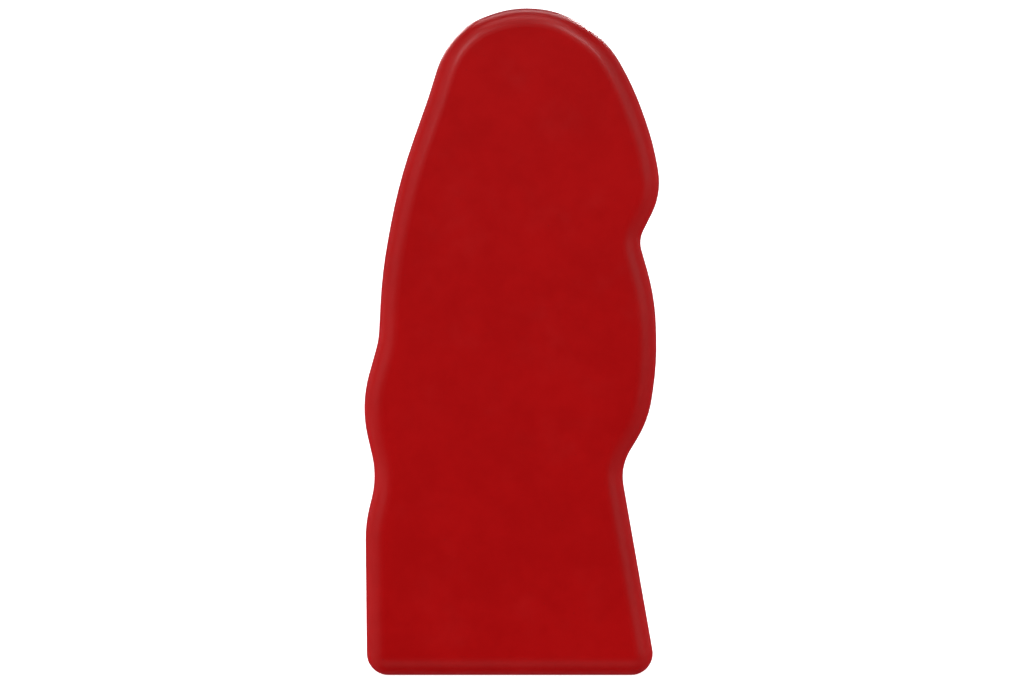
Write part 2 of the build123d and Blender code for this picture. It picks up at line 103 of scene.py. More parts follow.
class Finish:
    """One material, built round a Principled shader."""

    def __init__(self, name, **constants):
        self.material = bpy.data.materials.new(name)
        self.material.use_nodes = True
        self.tree = self.material.node_tree
        self.shader = self.tree.nodes["Principled BSDF"]
        for socket, value in constants.items():
            self.shader.inputs[socket.replace("_", " ")].default_value = value

    def node(self, kind, settings=None, inputs=None, output=0):
        """A node of that kind: its settings are set first, then its sockets get values or links."""
        made = self.tree.nodes.new(kind)
        for setting, value in (settings or {}).items():
            setattr(made, setting, value)
        for socket, value in (inputs or {}).items():
            if isinstance(value, Signal):
                self.tree.links.new(value.socket, made.inputs[socket])
            else:
                made.inputs[socket].default_value = value
        return Signal(self, made.outputs[output])

    def into(self, **signals):
        """Links signals to the shader's own sockets."""
        for socket, signal in signals.items():
            self.tree.links.new(signal.socket, self.shader.inputs[socket.replace("_", " ")])

    def place(self, centre=(0, 0, 0), scale=(1, 1, 1)):
        """Object coordinates, measured from a centre and stretched along each axis."""
        coordinates = self.node("ShaderNodeTexCoord", output="Object")
        shift = [-c * s for c, s in zip(centre, scale)]
        inputs = {"Vector": coordinates, "Location": shift, "Scale": scale}
        return self.node("ShaderNodeMapping", inputs=inputs)

    def grain(self, where, size, detail=3.0, roughness=0.55, distortion=0.0):
        """Cloudy noise between 0 and 1 whose lumps are about that size, in metres."""
        inputs = {
            "Vector": where,
            "Scale": 1 / size,
            "Detail": detail,
            "Roughness": roughness,
            "Distortion": distortion,
        }
        return self.node("ShaderNodeTexNoise", inputs=inputs)

    def band(self, signal, low, high, to_low=0.0, to_high=1.0):
        """The signal's stretch from low to high, eased, as to_low to to_high."""
        inputs = {0: signal, 1: low, 2: high, 3: to_low, 4: to_high}
        return self.node("ShaderNodeMapRange", {"interpolation_type": "SMOOTHSTEP"}, inputs)

    def parts(self, where):
        """The x, y and z of a vector."""
        split = self.node("ShaderNodeSeparateXYZ", inputs={0: where}).socket.node
        return [Signal(self, output) for output in split.outputs]

    def mix(self, factor, first, second):
        """Two colours mixed by a factor."""
        colours = [c if isinstance(c, Signal) else (*c, 1.0) for c in (first, second)]
        inputs = {0: factor, 6: colours[0], 7: colours[1]}
        return self.node("ShaderNodeMix", {"data_type": "RGBA"}, inputs, output=2)

    def bump(self, height, distance, strength=1.0):
        """The normal of a surface raised by height times distance, in metres."""
        inputs = {"Height": height, "Distance": distance, "Strength": strength}
        return self.node("ShaderNodeBump", inputs=inputs)


# %% [markdown]
# ## Camera
#
# The back is seen straight on and upright through a long lens, so its outline keeps its
# proportions. The distance follows from the lens: the view has a set width at the depth of the
# outline, where the rounded edge starts.

# %% Place the camera
view_width = 307.2 * mm
view_middle_height = 100.05 * mm
sensor_width = 36.0
lens_length = 150.0

outline_y = back_y + edge_round
camera_distance = view_width * lens_length / sensor_width
camera_data = bpy.data.cameras.new("camera")
camera_data.lens = lens_length
camera_data.sensor_width = sensor_width
camera = bpy.data.objects.new("camera", camera_data)
bpy.context.scene.collection.objects.link(camera)
camera.location = (0, outline_y - camera_distance, view_middle_height)
camera.rotation_euler = (np.pi / 2, 0, 0)
bpy.context.scene.camera = camera
bpy.context.scene.view_settings.view_transform = "Standard"
print("camera stands", round(camera_distance, 3), "m from the outline")

# %% [markdown]
# ## Surfaces from formulas
#
# A piece here is a grid of points: one array each for x, y and z, worked out all at once.
# `grid_mesh` joins neighbours into four-sided faces. Either direction of the grid can close on
# itself, as a ring does, and a point can be added at each end to close the poles of a turned
# shape. `turn_about_z` makes the grid of anything that is round: a profile carried once about an
# upright axis.

# %% Grids of points and the meshes they become
def grid_mesh(name, points, close_rows=False, close_columns=False, poles=None):
    """A mesh whose face (i, j) joins points i and i + 1 one way with j and j + 1 the other."""
    rows, columns = points.shape[:2]
    i = np.arange(rows if close_rows else rows - 1)[:, None]
    j = np.arange(columns if close_columns else columns - 1)[None, :]
    i_next, j_next = (i + 1) % rows, (j + 1) % columns
    corners = [
        i * columns + j,
        i * columns + j_next,
        i_next * columns + j_next,
        i_next * columns + j,
    ]
    faces = np.stack(np.broadcast_arrays(*corners), axis=-1).reshape(-1, 4)
    vertices = points.reshape(-1, 3)
    fans = []
    if poles is not None:
        ring = np.arange(columns)
        ring_next = (ring + 1) % columns
        low, high = len(vertices), len(vertices) + 1
        last = (rows - 1) * columns
        fans = [
            np.stack([np.full(columns, low), ring_next, ring], axis=-1),
            np.stack([np.full(columns, high), last + ring, last + ring_next], axis=-1),
        ]
        vertices = np.vstack([vertices, poles])
    return mesh_object(name, vertices, [faces, *fans])


def mesh_object(name, vertices, face_groups):
    """An object at the origin whose smooth mesh has these vertices and groups of faces."""
    loops = np.concatenate([group.ravel() for group in face_groups]).astype(np.int32)
    sizes = np.concatenate([np.full(len(group), group.shape[1]) for group in face_groups])
    starts = np.concatenate([[0], np.cumsum(sizes)[:-1]]).astype(np.int32)
    mesh = bpy.data.meshes.new(name)
    mesh.vertices.add(len(vertices))
    mesh.vertices.foreach_set("co", np.asarray(vertices, np.float32).ravel())
    mesh.loops.add(len(loops))
    mesh.loops.foreach_set("vertex_index", loops)
    mesh.polygons.add(len(sizes))
    mesh.polygons.foreach_set("loop_start", starts)
    mesh.update(calc_edges=True)
    mesh.shade_smooth()
    made = bpy.data.objects.new(name, mesh)
    bpy.context.scene.collection.objects.link(made)
    print(name, "has", len(sizes), "faces")
    return made


def turn_about_z(radius, height, x, y, turns):
    """A profile carried round the upright axis at (x, y): radius times cosine and sine."""
    angle = np.linspace(0, 2 * np.pi, turns, endpoint=False)[None, :]
    radius = np.broadcast_to(radius, (len(height), turns))
    return np.stack(
        [
            x + radius * np.cos(angle),
            y + radius * np.sin(angle),
            np.broadcast_to(height[:, None], radius.shape),
        ],
        axis=-1,
    )


# %% [markdown]
# ## The studio
#
# The guiro stands on a pale floor that curves up into a wall all round, so there is no corner
# behind it from any side. The floor and wall are one turned profile. They are left out of
# reflections, so the satin plastic shows the soft lamps and not a white room, and they cast no
# shadow, so lamps can stand outside them.

# %% Floor and wall in one sweep
floor_radius = 2.6
wall_curve = 0.9
wall_height = 2.4
middle_radius = 0.05


def sweep_surface(turns=96, steps=14):
    """A flat disc that bends up through a quarter circle into an upright wall, turned about Z."""
    bend = np.linspace(0, np.pi / 2, steps)
    flat = np.linspace(middle_radius, floor_radius - wall_curve, 6)[:-1]
    radius = np.r_[flat, floor_radius - wall_curve + wall_curve * np.sin(bend), floor_radius]
    height = np.r_[0 * flat, wall_curve * (1 - np.cos(bend)), wall_height]
    return turn_about_z(radius[:, None], height, 0, 0, turns)


sweep_points = sweep_surface()
sweep = grid_mesh("studio_sweep", sweep_points, close_columns=True)
centre_disc = np.r_[sweep_points[0], [[0, 0, 0]]]
ring = np.arange(len(sweep_points[0]))
spokes = np.stack([np.full(len(ring), len(ring)), ring, np.roll(ring, -1)], axis=-1)
floor_middle = mesh_object("studio_floor_middle", centre_disc, [spokes])

paper = Finish("studio_paper", Base_Color=(0.9, 0.9, 0.9, 1.0), Roughness=0.9)
paper.shader.inputs["Emission Color"].default_value = (1.0, 1.0, 1.0, 1.0)
paper.shader.inputs["Emission Strength"].default_value = 0.82
for piece in (sweep, floor_middle):
    piece.data.materials.append(paper.material)
    piece.visible_glossy = False
    piece.visible_diffuse = False
    piece.visible_shadow = False

# %% [markdown]
# The light comes in two kinds. Wide fills light the colour. They stand at an angle to the flat
# faces, some of them under the floor, so that those faces keep their depth. Softboxes light the
# gloss alone: one overhead and a little behind draws the pale line along the top of the rounded
# edge, and one each side of the camera puts a glow on the shoulders. The same set stands behind
# the guiro, for its other face. Leaving a fill out of the gloss isn't perfect, and a little of it
# still shows in the satin plastic.

# %% Lamps
aim = Vector((0, 0, view_middle_height))


def lamp(name, place, size, power, reflected):
    """A rectangular lamp that faces the guiro, set to light its gloss alone or its colour alone."""
    data = bpy.data.lights.new(name, "AREA")
    data.shape = "RECTANGLE"
    data.size, data.size_y = size
    data.energy = power
    made = bpy.data.objects.new(name, data)
    made.location = place
    made.rotation_euler = (aim - Vector(place)).to_track_quat("-Z", "Y").to_euler()
    made.visible_glossy = reflected
    made.visible_diffuse = not reflected
    bpy.context.scene.collection.objects.link(made)


for side, facing in (("back", -1), ("front", 1)):
    lamp(side + "_left_fill", (-1.8, 1.25 * facing, 0.9), (1.8, 1.8), 33.0, False)
    lamp(side + "_right_fill", (1.8, 1.25 * facing, 0.9), (1.8, 1.8), 29.5, False)
    lamp(side + "_left_rim", (-1.6, 0.5 * facing, -0.6), (2.4, 2.0), 13.0, False)
    lamp(side + "_right_rim", (1.6, 0.5 * facing, -0.6), (2.4, 2.0), 8.0, False)
    lamp(side + "_high_fill", (0, 1.3 * facing, 1.7), (2.0, 1.4), 5.0, False)
    lamp(side + "_low_fill", (0, 1.3 * facing, -1.4), (2.0, 1.4), 12.5, False)
    lamp(side + "_top_box", (0, -0.45 * facing, 1.1), (0.9, 0.3), 4.2, True)
    lamp(side + "_left_box", (-0.5, 1.1 * facing, 0.72), (0.22, 0.34), 3.8, True)
    lamp(side + "_right_box", (0.45, 1.1 * facing, 0.9), (0.2, 0.3), 4.6, True)

world = bpy.data.worlds.new("studio_world")
bpy.context.scene.world = world
world.use_nodes = True
world.node_tree.nodes["Background"].inputs["Color"].default_value = (0.6, 0.85, 1.3, 1)
world.node_tree.nodes["Background"].inputs["Strength"].default_value = 0.05

# %% [markdown]
# ## Red shell plastic
#
# The case is one deep red right through, satin, with the faint clouding of pigment that was not
# quite evenly mixed. Handling has left hair scratches, dull rubs and a few specks. An even paint
# would look like a toy, and a strong pattern like stone, so the colour moves by a few percent and
# most of the work is in the gloss: roughness and a very low bump.

# %% Finish of the two shells
def make_red_plastic():
    """Deep red, clouded at two scales, with specks, dull rubs, hair scratches and a fine skin."""
    finish = Finish("red_shell_plastic", Specular_IOR_Level=0.2)
    where = finish.place()
    cloud = finish.grain(where, 26 * mm, detail=4)
    fine_cloud = finish.grain(where, 5 * mm, detail=5, roughness=0.65)
    speck = finish.band(finish.grain(where, 1.3 * mm, detail=2), 0.73, 0.80)
    tone = finish.band(cloud * 0.6 + fine_cloud * 0.4, 0.36, 0.64)
    base = finish.mix(tone, (0.368, 0.0008, 0.0010), (0.408, 0.0014, 0.0016))
    base = finish.mix(speck * 0.35, base, (0.16, 0.003, 0.004))
    along = finish.place(scale=(1.0, 1.0, 0.07))
    hair = finish.grain(along, 0.9 * mm, detail=2, distortion=1.2)
    scratched = finish.band(finish.grain(where, 34 * mm, detail=2), 0.52, 0.66)
    scratch = finish.band(hair, 0.70, 0.76) * scratched
    rub = finish.band(finish.grain(where, 14 * mm, detail=5, roughness=0.7), 0.5, 0.75)
    gloss = 0.31 + rub * 0.07 + scratch * 0.12 + fine_cloud * 0.04
    skin = finish.grain(where, 0.8 * mm, detail=2)
    wave = finish.grain(where, 18 * mm, detail=1)
    height = skin * 0.010 + wave * 0.35 - scratch * 0.02
    finish.into(Base_Color=base, Roughness=gloss, Normal=finish.bump(height, 0.25 * mm))
    return finish.material


def dress(node, material):
    """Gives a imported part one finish."""
    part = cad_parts[node]
    part.data.materials.clear()
    part.data.materials.append(material)
    return part


red_plastic = make_red_plastic()
for shell in ("back_shell", "front_shell"):
    print(dress(shell, red_plastic).name, "wears", red_plastic.name)

# %% [markdown]
# ## Black plastic of the small mouldings
#
# The scraper's tray, its clips and the port's ring come from spark-eroded tools, which leave an
# even fine grain that scatters light. Two noises a few tenths of a millimetre across make that
# grain in the bump, a broad one keeps the gloss from being the same everywhere, and handled spots
# are a little smoother. Displacing the mesh would cost triangles for something this shallow.

# %% Finish of the tray, the clips and the ring
def make_black_plastic():
    """Near black, with a moulded grain at two sizes, polished patches and a trace of dust."""
    finish = Finish("black_moulded_plastic", Specular_IOR_Level=0.45)
    where = finish.place()
    pits = finish.grain(where, 0.35 * mm, detail=2)
    lumps = finish.grain(where, 1.1 * mm, detail=3, roughness=0.6)
    handled = finish.band(finish.grain(where, 11 * mm, detail=4), 0.48, 0.68)
    dust = finish.band(finish.grain(where, 4 * mm, detail=6, roughness=0.75), 0.56, 0.78)
    base = finish.mix(lumps, (0.013, 0.013, 0.0145), (0.021, 0.021, 0.023))
    base = finish.mix(dust * 0.22, base, (0.07, 0.067, 0.062))
    gloss = 0.56 - handled * 0.12 + pits * 0.08 + dust * 0.10
    height = pits * 0.55 + lumps * 0.45
    finish.into(Base_Color=base, Roughness=gloss, Normal=finish.bump(height, 0.05 * mm, 0.7))
    return finish.material


black_plastic = make_black_plastic()
for moulding in ("scraper_tray", "lower_clip", "upper_clip"):
    print(dress(moulding, black_plastic).name, "wears", black_plastic.name)

# %% [markdown]
# ## Screws, washers and inserts
#
# Zinc plate is a bluish grey metal with a slightly blotchy gloss and fine rings from turning. The
# screws stand along Y, so the rings are a noise that is stretched flat across Y. The threaded
# inserts are brass with the same rings, deeper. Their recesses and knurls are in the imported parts,
# so a better surface is all they need.

# %% Finishes of the metal parts
def make_turned_metal(name, bright, dull, ring_depth):
    """A metal turned about Y: blotches in the colour and gloss, and rings across Y in the bump."""
    finish = Finish(name, Metallic=1.0)
    where = finish.place()
    blotch = finish.grain(where, 1.6 * mm, detail=5, roughness=0.7)
    rings = finish.grain(finish.place(scale=(0.06, 1.0, 0.06)), 0.16 * mm, detail=2)
    swirl = finish.grain(where, 0.25 * mm, detail=2, distortion=0.8)
    base = finish.mix(finish.band(blotch, 0.35, 0.70), bright, dull)
    gloss = 0.26 + blotch * 0.16 + rings * 0.08
    height = rings * 0.7 + swirl * 0.3
    finish.into(Base_Color=base, Roughness=gloss, Normal=finish.bump(height, ring_depth, 0.6))
    return finish.material


zinc = make_turned_metal("zinc_plate", (0.66, 0.67, 0.69), (0.47, 0.47, 0.46), 0.012 * mm)
brass = make_turned_metal("turned_brass", (0.82, 0.60, 0.27), (0.60, 0.41, 0.17), 0.020 * mm)
for fastener in ("case_screws", "board_screws", "clip_washers"):
    print(dress(fastener, zinc).name, "wears", zinc.name)
print(dress("boss_inserts", brass).name, "wears", brass.name)

# %% [markdown]
# ## Felt and seam rubber
#
# Under each end of the board lies pressed wool felt, whose fibres cross each other in every
# direction and catch light at a grazing angle, which is what sheen adds. The seam's rubber cord is
# smoother, with a faint bloom. Both are thin and mostly hidden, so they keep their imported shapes.

# %% Finishes of the felt and the seam rubber
def make_felt():
    """Dark wool: stretched noises in two directions for fibres, over lumps of pressed wool."""
    finish = Finish("pressed_wool_felt", Sheen_Weight=0.5, Specular_IOR_Level=0.1)
    lumps = finish.grain(finish.place(), 1.4 * mm, detail=4, roughness=0.7)
    fibres_along = finish.grain(finish.place(scale=(1, 1, 0.12)), 0.12 * mm, distortion=2.0)
    fibres_across = finish.grain(finish.place(scale=(0.12, 1, 1)), 0.12 * mm, distortion=2.0)
    fibre = fibres_along * 0.5 + fibres_across * 0.5
    base = finish.mix(fibre * 0.6 + lumps * 0.4, (0.030, 0.028, 0.029), (0.105, 0.098, 0.095))
    height = fibre * 0.7 + lumps * 0.3
    gloss = 0.88 + fibre * 0.12
    finish.into(Base_Color=base, Roughness=gloss, Normal=finish.bump(height, 0.12 * mm))
    return finish.material


def make_rubber(name, skin_size, bloom_amount):
    """Dark rubber: a fine moulded skin, and a grey bloom in patches."""
    finish = Finish(name, Specular_IOR_Level=0.35)
    where = finish.place()
    skin = finish.grain(where, skin_size, detail=3, roughness=0.6)
    bloom = finish.band(finish.grain(where, 6 * mm, detail=5, roughness=0.7), 0.45, 0.75)
    base = finish.mix(skin, (0.017, 0.0165, 0.0165), (0.030, 0.029, 0.029))
    base = finish.mix(bloom * bloom_amount, base, (0.095, 0.092, 0.088))
    gloss = 0.62 + bloom * 0.14 + skin * 0.10
    finish.into(Base_Color=base, Roughness=gloss, Normal=finish.bump(skin, 0.06 * mm, 0.8))
    return finish.material


felt = make_felt()
seam_rubber = make_rubber("seam_rubber", 0.4 * mm, 0.25)
print(dress("board_felt", felt).name, "wears", felt.name)
print(dress("seam_gasket", seam_rubber).name, "wears", seam_rubber.name)

# %% [markdown]
# ## Ridge board: where its ridges are
#
# The board is what makes the sound: the stick is drawn over its ridges. Twelve coarse ones are at
# the bottom and eleven fine ones at the top, with a plain band between, and a flat pad at each end
# takes the screws. Its outline comes from its box. Each ridge is the arch of the board less a V
# groove on each side, so one depth along the board, `groove_depth`, says it all.

# %% Sizes of the board
board_low, board_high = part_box("ridge_board")
board_x = (board_low.x + board_high.x) / 2
board_half = (board_high.x - board_low.x) / 2
pad_length, ramp_length = 11 * mm, 4 * mm
pad_y = front_y + 1 * mm
crest_y = board_high.y
board_corner = 6 * mm
arch_rise = 2.4 * mm
arch_radius = (board_half**2 + arch_rise**2) / (2 * arch_rise)
arch_axis_y = crest_y - arch_radius
rasp_bottom, rasp_top = board_low.z + pad_length, board_high.z - pad_length
first_ridge, last_ridge = rasp_bottom + ramp_length, rasp_top - ramp_length
tooth_land = 0.5 * mm
coarse = {"start": first_ridge, "pitch": 4.2 * mm, "depth": 2.0 * mm, "count": 12}
fine = {"pitch": 2.4 * mm, "depth": 1.1 * mm, "count": 11}
fine["start"] = last_ridge - fine["count"] * fine["pitch"]
print("board:", round(2 * board_half / mm, 2), "mm wide, arch radius", round(arch_radius / mm, 1))

# %% Depth of the grooves along the board
chance = np.random.default_rng(7)
shallowest, deepest = -0.045, 0.02
bottom_round, edge_soften = 0.07, 0.10
run_out = 0.2


def groove_depth(z, row):
    """How far one row of grooves is cut below the arch at heights z.

    Within one pitch, s is 0 at the groove's bottom and 1 at the ridge's flat land, so the depth is
    1 - s times the full depth. A square root with a small term inside rounds the bottom, and a
    second one rounds the ridge's edges. Each groove's full depth is a few percent off, as cut wood
    is. A row runs out a fifth of a pitch past its last groove.
    """
    place = (z - row["start"]) / row["pitch"]
    groove = np.clip(np.floor(place).astype(int), 0, row["count"] - 1)
    full = row["depth"] * (1 + chance.uniform(shallowest, deepest, row["count"]))[groove]
    slope_length = (row["pitch"] - tooth_land) / 2
    s = np.abs(place - groove - 0.5) * row["pitch"] / slope_length
    open_depth = 1 - np.sqrt(s**2 + bottom_round**2)
    cut = 0.5 * (open_depth + np.sqrt(open_depth**2 + edge_soften**2))
    inside = (place >= -run_out) & (place <= row["count"] + run_out)
    return np.where(inside, full * cut, 0)


# %% [markdown]
# ## Ridge board: the surface
#
# The top of the board is one height for every place across and along it. A finer grid near the
# edges makes room for their sanded round. At the ends the rows bend to follow the rounded corners,
# and round each screw the square rings of the grid are pushed into circles, so that the
# countersink's rim is clean without cutting the mesh. Boolean cuts would leave long thin triangles
# that shade badly.

# %% Points of the board's top
def steps_from_edge(length, spacing=0.25 * mm):
    """Distances from an edge: close together on the sanded round, then evenly spaced."""
    close = np.array([0, 0.05, 0.12, 0.22, 0.35, 0.5]) * mm
    return np.r_[close, np.arange(0.75 * mm, length - 0.1 * mm, spacing)]


across = steps_from_edge(board_half)
column_x = np.r_[across - board_half, 0, (board_half - across)[::-1]]
pad_rows = steps_from_edge(pad_length)
rasp_rows = np.linspace(rasp_bottom, rasp_top, 390)
row_z = np.r_[board_low.z + pad_rows, rasp_rows, (board_high.z - pad_rows)[::-1]]
grid_z, grid_x = np.meshgrid(row_z, column_x, indexing="ij")

screw_inset, screw_rise = 7 * mm, 5.5 * mm
screw_places = [
    (sign * (board_half - screw_inset), z)
    for sign in (-1, 1)
    for z in (board_low.z + screw_rise, board_high.z - screw_rise)
]
sink_radius, sink_floor = 2.5 * mm, 1.3 * mm
fade_end = 4 * mm


def ring_distance(x, z, centre):
    """Distance from a screw's middle as square rings measure it."""
    return np.maximum(np.abs(x - centre[0]), np.abs(z - centre[1]))


def bend_rings(x, z, centre):
    """Square rings of the grid about a screw made into circles, fading out to fade_end from it.

    A point's ring distance s and true distance r give the factor s / r that puts it on a circle of
    radius s. The fade is 1 inside the countersink and 0 at fade_end.
    """
    s = ring_distance(x, z, centre)
    r = np.hypot(x - centre[0], z - centre[1])
    fade = np.clip((fade_end - s) / (fade_end - sink_radius), 0, 1)
    factor = 1 + fade * (np.where(r > 0, s / np.maximum(r, 1e-9), 1) - 1)
    return centre[0] + (x - centre[0]) * factor, centre[1] + (z - centre[1]) * factor


top_x, top_z = grid_x, grid_z
sunk = np.zeros_like(grid_x)
for centre in screw_places:
    inside_rim = sink_radius - ring_distance(grid_x, grid_z, centre)
    sunk = np.maximum(sunk, np.clip(inside_rim, 0, sink_floor))
    top_x, top_z = bend_rings(top_x, top_z, centre)
print("board grid:", top_x.shape, "with", len(screw_places), "countersinks")

# %% Heights of the board's top
wear_depth, wear_reach = 0.17 * mm, 7 * mm
crest_depth = 0.7 * mm
wave_height = 0.02 * mm
foot_round = 0.12 * mm
under_pad = 3 * mm


def corner_shift(x, from_end):
    """How far a row moves from the board's end so that the first row follows the rounded corners.

    The corner's circle gives the drop at the end, and it fades over a length that grows with it.
    """
    past = np.clip(np.abs(x) - (board_half - board_corner), 0, board_corner)
    drop = board_corner - np.sqrt(board_corner**2 - past**2)
    return drop * np.clip(1 - from_end / (2.5 * mm + 1.3 * drop), 0, 1)


def board_top(x, z):
    """Height of the ridges: the arch less the grooves, ramped to the pads, and worn in the middle.

    Circles about the arch's axis have the height axis + sqrt(radius^2 - x^2). The radius falls to
    the pad's level along each ramp. Ridges wear down most along the middle, where the stick runs.
    Low waves, lowered by their own height so that they only take wood away, are left by sanding.
    """
    ramp = np.clip(np.minimum(z - rasp_bottom, rasp_top - z) / ramp_length, 0, 1)
    pad_radius = pad_y - arch_axis_y
    cut = groove_depth(z, coarse) + groove_depth(z, fine)
    radius = pad_radius + (arch_radius - pad_radius) * ramp - np.where(ramp >= 1, cut, 0)
    on_crest = np.clip(1 - cut / crest_depth, 0, 1)
    worn = wear_depth * np.exp(-((x / wear_reach) ** 2)) * on_crest * ramp
    waves = np.sin(x * 410 + z * 95) * np.sin(z * 61 - x * 150) * wave_height * ramp
    above_pad = arch_axis_y + np.sqrt(radius**2 - x**2) - worn + waves - wave_height - pad_y
    above_pad = np.where(ramp > 0, above_pad, -under_pad)
    blend = 0.5 * (above_pad + np.sqrt(above_pad**2 + foot_round**2))
    return pad_y + np.where(ramp > 0, blend, 0)


top_y = board_top(top_x, top_z) - sunk
from_low, from_high = grid_z - board_low.z, board_high.z - grid_z
to_edge = np.minimum(board_half - np.abs(grid_x), np.minimum(from_low, from_high))
sanded, sanded_share = 0.5 * mm, 0.9
inward = np.clip(sanded - to_edge, 0, sanded)
top_y = top_y - (sanded - np.sqrt(sanded**2 - inward**2)) * sanded_share
top_z = top_z + corner_shift(top_x, from_low) - corner_shift(top_x, from_high)
print("highest ridge:", round(top_y.max() / mm, 2), "mm of", round(crest_y / mm, 2))

# %% [markdown]
# ## Ridge board: sides and underside
#
# The rim of the grid is walked once round, and rings of the same outline go down from it to the
# board's back. Two rings sit close to each corner of the section, which keeps smooth shading from
# rounding it off. A fan closes the underside, so the board is one closed body.

# %% Close the board and hand it over
rim_drop = 0.12 * mm


def closed_board(x, y, z):
    """Vertices and groups of faces of the top grid, its sides and its underside."""
    rows, columns = x.shape
    index = np.arange(rows * columns).reshape(rows, columns)
    top = np.stack([index[:-1, :-1], index[1:, :-1], index[1:, 1:], index[:-1, 1:]], axis=-1)
    rim = np.r_[index[0, :-1], index[:-1, -1], index[-1, :0:-1], index[:0:-1, 0]]
    points = np.stack([x, y, z], axis=-1).reshape(-1, 3)
    edge = points[rim]
    middle = np.array([0, 0, (board_low.z + board_high.z) / 2])
    levels = [edge]
    for height, shrink in ((None, 1.0), (0.15, 1.0), (0.0, 0.997), (0.0, 0.97)):
        ring = middle + (edge - middle) * [shrink, 1, shrink]
        lowered = edge[:, 1] - rim_drop
        ring[:, 1] = lowered if height is None else board_low.y + height * mm
        levels.append(ring)
    count = len(rim)
    start = len(points)
    rings = [rim] + [start + step * count + np.arange(count) for step in range(len(levels) - 1)]
    sides = [
        np.stack([near, np.roll(near, -1), np.roll(far, -1), far], axis=-1)
        for near, far in zip(rings[:-1], rings[1:])
    ]
    below = [[0, board_low.y, middle[2]]]
    vertices = np.vstack([points, *levels[1:], below])
    last = np.full(count, len(vertices) - 1)
    fan = np.stack([last, rings[-1], np.roll(rings[-1], -1)], axis=-1)
    return vertices, [top.reshape(-1, 4), *sides, fan]


board_vertices, board_faces = closed_board(top_x, top_y, top_z)
board_vertices = board_vertices + [board_x, 0, 0]
ridge_board = mesh_object("ridge_board_wood", board_vertices, board_faces)
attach(ridge_board, "case")
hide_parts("ridge_board")

# %% [markdown]
# ## Oiled hardwood
#
# Wood is layered: growth rings a few millimetres apart, fibres that run the length of the board,
# and short dark pores. Each is a noise stretched along Z by its own amount. Ridges that the stick
# rubs lose their oil and turn pale and smooth. Their height says where: the arch falls away as the
# square of the distance from the middle, so adding that back makes every crest the same height.
# The same height also paints shade into the grooves: the deeper the wood lies between the ridges,
# the darker it is painted.

# %% Finish of the board
def add_wood(finish, centre, ring_size):
    """Signals of wood along Z about a centre: growth rings, fibres and pores."""
    long_rings = finish.place(centre, (1.0, 0.8, 0.045))
    rings = finish.grain(long_rings, ring_size, detail=2, distortion=0.6)
    long_fibres = finish.place(centre, (1, 1, 0.035))
    fibres = finish.grain(long_fibres, 0.45 * mm, detail=4, roughness=0.6)
    pores = finish.grain(finish.place(centre, (1, 1, 0.10)), 0.28 * mm, detail=1)
    return rings, fibres, finish.band(pores, 0.66, 0.74)


def make_board_wood():
    """Warm brown wood, paler and smoother on the worn crests, darker in the pores, with painted
    shade in the grooves.
    """
    finish = Finish("oiled_hardwood", Specular_IOR_Level=0.4)
    rings, fibres, pores = add_wood(finish, (board_x, 0, 0), 3.4 * mm)
    where = finish.place((board_x, 0, 0))
    x, y, _ = finish.parts(where)
    level = y + x * x * (1 / (2 * arch_radius))
    crest = finish.band(level, crest_y - 0.65 * mm, crest_y - 0.18 * mm)
    # Painted shade mask: 1 deep in the grooves, falling to 0 near the crests.
    groove = finish.band(level, pad_y + 1.0 * mm, crest_y - 1.0 * mm, 1.0, 0.0)
    ridged = finish.band(level, pad_y + 0.6 * mm, pad_y + 1.6 * mm)
    patch = finish.grain(where, 9 * mm, detail=4)
    base = finish.mix(finish.band(rings, 0.36, 0.64), (0.235, 0.098, 0.036), (0.40, 0.195, 0.080))
    base = finish.mix(finish.band(fibres, 0.35, 0.7) * 0.45, base, (0.50, 0.27, 0.125))
    base = finish.mix(pores * 0.7, base, (0.075, 0.030, 0.013))
    # Painted shade: the grooves between the ridges are darkened, and the deeper parts more.
    base = finish.mix(groove * ridged * 0.45, base, (0.11, 0.045, 0.019))
    base = finish.mix(crest * (0.35 + patch * 0.5), base, (0.60, 0.37, 0.19))
    gloss = 0.50 + fibres * 0.14 - crest * 0.16 + pores * 0.12
    height = fibres * 0.5 + rings * 0.2 - pores * 0.9
    finish.into(Base_Color=base, Roughness=gloss, Normal=finish.bump(height, 0.05 * mm, 0.9))
    return finish.material


ridge_board.data.materials.append(make_board_wood())
print(ridge_board.name, "wears", ridge_board.data.materials[0].name)

# %% [markdown]
# ## Scraper: a turned stick
#
# The stick is turned on a lathe, so a profile of radius against height, carried once round its
# axis, is the real way it is made as well as the simplest. The butt stands a little proud of the
# shaft under the grip, and the far end tapers to a rounded tip. Turning leaves hardly visible
# rings, and the tip is dented by the ridges. Both only take wood away, so the stick never grows
# past its solid.

# %% Profile and mesh of the stick
stick_low, stick_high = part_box("scraper_stick")
grip_low, grip_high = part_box("scraper_grip")
stick_x, stick_y = (stick_low.x + stick_high.x) / 2, (stick_low.y + stick_high.y) / 2
butt_radius, shaft_radius, tip_radius = 4.2 * mm, 3.1 * mm, 2.2 * mm
butt_fillet, tip_fillet, taper_length = 2 * mm, 1.4 * mm, 14 * mm
tip_start = stick_high.z - taper_length
stick_turns = 72


def quarter_round(radius, fillet, z_end, toward, steps=12):
    """Radii and heights of a rounded end: from the flat at z_end out to the side.

    Along the quarter circle the radius grows with the sine and the height with 1 - cosine.
    """
    angle = np.linspace(0, np.pi / 2, steps)
    return radius - fillet + fillet * np.sin(angle), z_end + toward * fillet * (1 - np.cos(angle))


